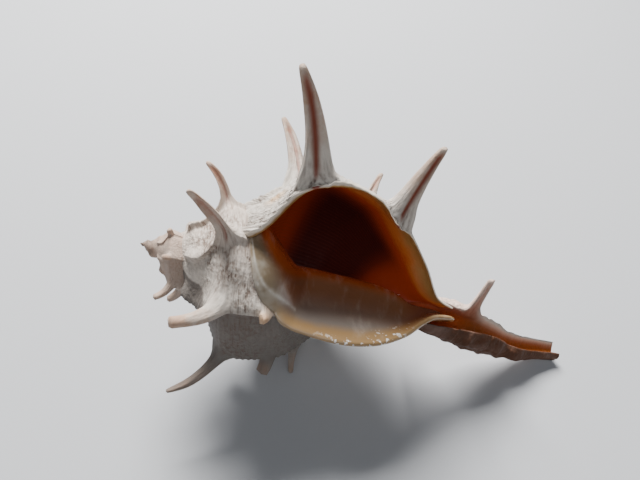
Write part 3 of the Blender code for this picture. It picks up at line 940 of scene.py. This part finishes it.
def body_radius(heights, angle):
    """Radius of what the last turn wraps: the older whorl or the pillar."""
    older = curve * float(growth(angle - 360.0))
    wrapped = np.interp(heights, older[:, 0], older[:, 1], right=0.0)
    size = float(growth(min(angle, 0.0)))
    rise = smooth_step((heights / size - PILLAR_START) / (PILLAR_FULL - PILLAR_START))
    rise = rise * (1.0 - 0.8 * smooth_step((heights / size - 39.5) / 6.5))
    return np.maximum(wrapped, size * PILLAR_RADIUS * rise)


edge_curve = through(FREE_EDGE, EDGE_POINTS)
turning = np.radians(np.gradient(edge_curve[:, 1])) * edge_curve[:, 2]
edge_arc = np.cumsum(np.hypot(np.gradient(edge_curve[:, 0]), turning))
along_edge = np.arange(EDGE_POINTS)
edge_rows = np.interp(np.linspace(edge_arc[0], edge_arc[-1], LIP_ROWS), edge_arc, along_edge)
rows_h, rows_side, rows_r = (np.interp(edge_rows, along_edge, column) for column in edge_curve.T)
sides = np.arange(-250.0, 136.0, 1.5)
ground_h = np.array([rows_h * growth(min(side - LIP_ANGLE, 0.0)) for side in sides])
ground_r = np.array([body_radius(heights, side - LIP_ANGLE)
                     + GLAZE_THICKNESS * growth(side - LIP_ANGLE) ** 0.5
                     for heights, side in zip(ground_h, sides)])
tucked = 1.0 - smooth_step((rows_h - 14.9) / 1.4)
ground_r -= 1.4 * tucked[None, :] * smooth_step((66.0 - sides) / 8.0)[:, None]
ground = place(ground_h, ground_r, sides[:, None] - LIP_ANGLE)


def taut_path(line, side_now, radius_now, height_now):
    """The glaze across the shell: on what it covers, then straight to its free edge, hollowed."""
    on_ground = np.array([np.interp(side_now, sides, line[:, c]) for c in range(3)])
    free = place(height_now, radius_now, side_now - LIP_ANGLE)
    if np.hypot(*on_ground[1:]) > np.hypot(*free[1:]):
        free = on_ground
    go = np.gradient(line, axis=0)
    left = go[:, 1] * (free[2] - line[:, 2]) - go[:, 2] * (free[1] - line[:, 1])
    before = (sides < side_now - 1.0) & (sides > -20.0)
    past = np.flatnonzero(before & (left < 0.0))
    leave = past[0] if len(past) else np.flatnonzero(before)[-1]
    path = np.vstack([line[:leave], np.linspace(line[leave], free, SHIELD_STEPS)])
    taut = free - line[leave]
    width = np.linalg.norm(taut)
    back = np.array([0.0, taut[2], -taut[1]])
    back *= -1.0 / (np.linalg.norm(back) + 1e-9)
    sag = np.sin(np.pi * np.linspace(0.0, 1.0, SHIELD_STEPS)) ** 1.2
    path[leave:] += (SHIELD_HOLLOW * smooth_step(width / 8.0) * sag)[:, None] * back
    return path, width


def softened(values, spread):
    """Average each column of values with its neighbours."""
    reach = 3 * spread
    weights = np.exp(-0.5 * (np.arange(-reach, reach + 1) / spread) ** 2)
    edges = [(0, 0), (reach, reach)] + [(0, 0)] * (values.ndim - 2)
    padded = np.pad(values, edges, mode="edge")
    return sum(w * padded[:, k:k + values.shape[1]] for k, w in enumerate(weights)) / weights.sum()


share = 1.0 - np.linspace(1.0, 0.0, SECTION) ** 1.5
lip_points = np.empty((SECTION, LIP_ROWS, 3))
edge_distance = np.empty((SECTION, LIP_ROWS))
crest_width = np.empty(LIP_ROWS)
for k in range(LIP_ROWS):
    path, width = taut_path(ground[:, k], rows_side[k], rows_r[k], rows_h[k])
    run = np.concatenate([[0.0], np.cumsum(np.linalg.norm(np.diff(path, axis=0), axis=1))])
    at = share * run[-1]
    for c in range(3):
        lip_points[:, k, c] = np.interp(at, run, path[:, c])
    edge_distance[:, k] = run[-1] - at
    crest_width[k] = max(width, CALLUS_WIDTH)
crest_width = softened(crest_width[None, :], 6)
crest_distance = crest_width - edge_distance
blend = (1.0 - np.exp(-edge_distance / 1.2)) * smooth_step((crest_distance + 9.0) / 6.0)
lip_points += blend[..., None] * (softened(lip_points, 6) - lip_points)
thin_out = smooth_step((23.6 - rows_h) / 2.0)[None, :]
pull = (GLAZE_THICKNESS * 0.8 - 0.03) * np.exp(-edge_distance / 1.1) * thin_out
out = lip_points * np.array([0.0, 1.0, 1.0])
out /= np.linalg.norm(out, axis=-1)[..., None]
lip_points -= pull[..., None] * out
du = np.gradient(lip_points, axis=0)
dv = np.gradient(lip_points, axis=1)
facing = np.cross(du, dv)
facing /= np.linalg.norm(facing, axis=-1)[..., None] + 1e-12
thick = SHIELD_THICK * (1.0 - 0.75 * thin_out[0])
last, last_facing = lip_points[-1], facing[-3]
onward = lip_points[-1] - lip_points[-6]
onward /= np.linalg.norm(onward, axis=1)[:, None]
turned = []
for step in range(1, ROUND_STEPS + 1):
    turn = np.pi * step / ROUND_STEPS
    turned.append(last - last_facing * (0.5 * thick * (1.0 - np.cos(turn)))[:, None]
                  + onward * (0.5 * thick * np.sin(turn))[:, None])
back_reach = np.minimum(BACK_REACH, 0.7 * crest_width[0])
for way_back in np.linspace(0.04, 1.0, BACK_STEPS):
    behind = way_back * back_reach
    under = np.array([[np.interp(behind[k], edge_distance[::-1, k], lip_points[::-1, k, c])
                       for c in range(3)] for k in range(LIP_ROWS)])
    turned.append(under - facing[-3] * ((thick + 0.22 * behind) * (1.0 - 0.3 * thin_out[0]))[:, None])
lip_all = np.concatenate([lip_points, turned])
extra = len(turned)
edge_all = np.concatenate([edge_distance, np.zeros((extra, LIP_ROWS))])
crest_all = np.concatenate([crest_distance, np.broadcast_to(crest_distance[-1], (extra, LIP_ROWS))])
callus = smooth_step((25.0 - rows_h) / 5.0)[None, :] + np.zeros(lip_all.shape[:2])
chips = bell(rows_h - 40.0, 2.4) * smooth_step(2.8 - edge_all)
chips += bell(rows_h - 34.0, 4.0) * smooth_step(1.3 - 1.4 * edge_all)
streak_line = np.interp(rows_h, [16.0, 20.0, 24.5], [1.2, 2.0, 3.0])
streak = bell(edge_all - streak_line, 0.35)
streak = streak * (rows_h < 25.5) * smooth_step((rows_h - 15.5) / 2.0)
lip_mesh = new_mesh("inner_lip", lip_all, sheet_faces(*lip_all.shape[:2]))
lip_mesh.materials.append(porcelain)
finish_piece("inner_lip", lip_mesh, lip_all,
             {"edge": edge_all, "crest": crest_all, "callus": callus, "chips": np.clip(chips, 0.0, 1.0),
              "streak": 0.55 * streak})

# %% [markdown]
# The canal is a bent pipe with an open groove. One section, a ring with a narrow slot, is
# carried along the bent line, and the slot turns towards the viewer as it goes. The groove's
# upper edge stands up, pale and rubbed, its lower side gets knobs, and the broken end is jagged.

# %% The canal
CANAL_PATH = [(30.0, 0.0, 0.0), (36.0, 0.0, 0.0), (42.0, 0.0, 0.0), (47.0, 0.0, 0.2), (52.0, -0.2, -0.6),
              (58.0, -1.1, -2.6), (64.0, -1.5, -4.5), (69.0, -1.0, -5.7), (73.0, -0.5, -6.3)]
CANAL_RADII = [1.5, 1.9, 2.3, 3.0, 3.6, 3.3, 2.4, 1.9, 1.6]
UPPER_SLOT = [100.0, 102.0, 106.0, 52.0, 20.0, 20.0, 22.0, 24.0, 26.0]
LOWER_SLOT = [95.0, 90.0, 70.0, 42.0, 30.0, 38.0, 46.0, 50.0, 50.0]
OPENING_TURN = 35.0
FLATTENED = 0.85
KNOB_HEIGHT = 0.62
EDGE_RIDGE = 0.28
JAGS = 0.55
CANAL_COLUMNS = 320
CANAL_ROWS = 96
GROOVE_ROWS = 20
path = through(CANAL_PATH, CANAL_COLUMNS)
radii = through([(r,) for r in CANAL_RADII], CANAL_COLUMNS)[:, 0]
upper_slot = np.radians(through([(turn,) for turn in UPPER_SLOT], CANAL_COLUMNS)[:, 0])
lower_slot = np.radians(through([(turn,) for turn in LOWER_SLOT], CANAL_COLUMNS)[:, 0])
heading = np.gradient(path, axis=0)
heading /= np.linalg.norm(heading, axis=1)[:, None]
opening = np.radians(80.0 - OPENING_TURN * smooth_step((path[:, 0] - 50.0) / 9.0))
open_way = np.stack([0.0 * opening, np.cos(opening), np.sin(opening)], -1)
open_way = open_way - heading * (heading * open_way).sum(axis=1)[:, None]
open_way /= np.linalg.norm(open_way, axis=1)[:, None]
side_way = np.cross(heading, open_way)
canal = np.empty((CANAL_COLUMNS, CANAL_ROWS, 3))
around = np.empty((CANAL_COLUMNS, CANAL_ROWS))
in_slot = np.zeros((CANAL_COLUMNS, CANAL_ROWS))
outer_rows = CANAL_ROWS - GROOVE_ROWS
slot_depth = smooth_step((path[:, 0] - 39.0) / 4.0) * FLATTENED
for k in range(CANAL_ROWS):
    if k < outer_rows:
        turn = lower_slot + (2.0 * np.pi - lower_slot - upper_slot) * k / (outer_rows - 1)
        opened, aside = FLATTENED * radii * np.cos(turn), radii * np.sin(turn)
    else:
        way = np.pi * (k - outer_rows + 1) / (GROOVE_ROWS + 1)
        blend = 0.5 + 0.5 * np.cos(way)
        turn = 2.0 * np.pi - upper_slot * blend + lower_slot * (1.0 - blend)
        top = FLATTENED * radii * (np.cos(upper_slot) * blend + np.cos(lower_slot) * (1.0 - blend))
        opened = top - radii * slot_depth * np.sin(way) ** 0.7
        aside = radii * (-np.sin(upper_slot) * blend + np.sin(lower_slot) * (1.0 - blend))
        in_slot[:, k] = np.sin(way) ** 0.2 * smooth_step(slot_depth / 0.4)
    around[:, k] = turn
    canal[:, k] = path + opened[:, None] * open_way + aside[:, None] * side_way
outward = canal - path[:, None, :]
outward /= np.linalg.norm(outward, axis=-1)[..., None]
height_on = path[:, 0][:, None]
lower = smooth_step(np.sin(around + 0.45) * 1.8 + 0.2)
girth = around * radii[:, None]
knobs = wave_noise(height_on + 0.6 * np.sin(around), 2.4, 21) * wave_noise(girth, 2.2, 22)
knobs += 0.5 * wave_noise(height_on, 1.1, 24) * wave_noise(girth + 5.0, 1.2, 25)
growth_step = 0.10 * wave_noise(height_on, 0.7, 23)
knobbly = smooth_step((height_on - 44.0) / 4.0) * (1.0 - 0.7 * smooth_step((height_on - 64.0) / 5.0))
knobbly = knobbly * (1.0 - in_slot)
canal += outward * (knobbly * (KNOB_HEIGHT * knobs * (0.3 + 0.7 * lower) + growth_step))[..., None]
end = smooth_step((height_on - 71.6) / 1.4)
canal[..., 0] += end * (JAGS * wave_noise(around * 1.6, 0.5, 31))
upper_edge = np.exp(-((np.arange(CANAL_ROWS) - outer_rows + 1.0) / 1.6) ** 2)[None, :]
upper_edge = upper_edge * smooth_step((height_on - 54.0) / 3.0)
canal += outward * (EDGE_RIDGE * upper_edge)[..., None]
marks = {"spine": np.zeros(around.shape), "groove": in_slot.copy()}
print("canal: slot faces", np.round(open_way[CANAL_COLUMNS // 2], 2), "halfway")

# %% [markdown]
# Where a rib ran down to the canal it left a last small spine. It is drawn out of the pipe just
# as the big ones are drawn out of the whorl. Then both ends of the pipe are closed.

# %% Small spines on the canal
for rib, length, lean, tip_radius in CANAL_SPINES:
    size = float(growth(RIBS[rib]))
    foot_h = CANAL_ROW[0] * size
    k = int(np.argmin(np.abs(path[:, 0] - foot_h)))
    way_out = place(0.0, 1.0, RIBS[rib])
    facing_turn = np.arctan2(way_out @ side_way[k], way_out @ open_way[k]) % (2.0 * np.pi)
    x = ((around - facing_turn + np.pi) % (2.0 * np.pi) - np.pi) * radii[k]
    y = (height_on - foot_h) + 0.0 * x
    x = np.where(in_slot > 0.0, 99.0, x)
    turned_way = side_way[k] @ place(0.0, 1.0, RIBS[rib] + 90.0)
    if turned_way < -0.2:
        x = -x
    draw_spine(canal, x, y, CANAL_ROW, rib, length, lean, tip_radius, marks)
caps = np.repeat(canal[[0, -1]].mean(axis=1, keepdims=True), CANAL_ROWS, axis=1)
canal = np.concatenate([caps[:1], canal, caps[1:]])
canal_mesh = new_mesh("canal", canal, sheet_faces(CANAL_COLUMNS + 2, CANAL_ROWS, ring=True)[:, ::-1])
canal_mesh.materials.append(canal_lime)
under = lower * smooth_step((height_on - 40.0) / 3.0)
pale = smooth_step((height_on - 70.6) / 1.0) * (1.0 - lower) * (1.0 - in_slot)
pale = np.maximum(pale, 0.9 * upper_edge)
values = {"along": height_on + 0.0 * around, "across": girth, "under": under, "pale": pale, **marks}
values = {title: np.pad(numbers, ((1, 1), (0, 0)), mode="edge") for title, numbers in values.items()}
values["pale"][-1] = 0.0
values["under"][-1] = 1.0
finish_piece("canal", canal_mesh, canal, values)

# %% [markdown]
# A plain pale floor and soft studio light. The broad key light stands behind the shell, as the
# daylight does in the picture, so the shell's shadow falls towards the camera, and a weak fill
# keeps the near side readable.

# %% Floor, light and camera
FLOOR_HALF = 2.0
floor_corners = np.array([[-1, -1, 0], [1, -1, 0], [1, 1, 0], [-1, 1, 0]]) * FLOOR_HALF
floor_mesh = new_mesh("floor", floor_corners, np.array([[0, 1, 2, 3]]))
floor = add_object("floor", floor_mesh)
paper, tree, surface, point = new_finish("floor_paper", 0.9)
surface.inputs["Base Color"].default_value = (0.42, 0.43, 0.45, 1.0)
floor_mesh.materials.append(paper)


def add_light(name, spot, energy, size, tone):
    """A square soft light that looks at the shell."""
    data = bpy.data.lights.new(name, "AREA")
    data.energy, data.size, data.color = energy, size, tone
    light = add_object(name, data)
    light.location = spot
    light.rotation_euler = (Vector((0.0, 0.0, 0.02)) - Vector(spot)).to_track_quat("-Z", "Y").to_euler()


add_light("key", (-0.06, 0.26, 0.33), 7.0, 0.20, (1.0, 0.99, 0.97))
add_light("fill", (0.02, -0.32, 0.42), 0.9, 0.40, (0.93, 0.96, 1.0))
world = bpy.data.worlds.new("studio")
world.use_nodes = True
world.node_tree.nodes["Background"].inputs[0].default_value = (0.80, 0.86, 0.95, 1.0)
world.node_tree.nodes["Background"].inputs[1].default_value = 0.07
bpy.context.scene.world = world
CAMERA_BACK = (27.92, 0.476, 85.18)
FOCAL_PIXELS = 550.0
PHOTO_WIDTH = 640.0
SENSOR = 36.0
camera_data = bpy.data.cameras.new("camera")
camera_data.sensor_width = SENSOR
camera_data.lens = FOCAL_PIXELS / PHOTO_WIDTH * SENSOR
camera_data.clip_start = 0.005
camera = add_object("camera", camera_data)
camera.location = (Vector(rise_turn @ Vector(CAMERA_BACK)) + Vector(POSE_SHIFT)) * MM
camera.rotation_euler = (radians(90.0 - VIEW_PITCH), 0.0, 0.0)
bpy.context.scene.camera = camera
bpy.context.view_layer.update()
print("camera at", [round(c, 4) for c in camera.location])
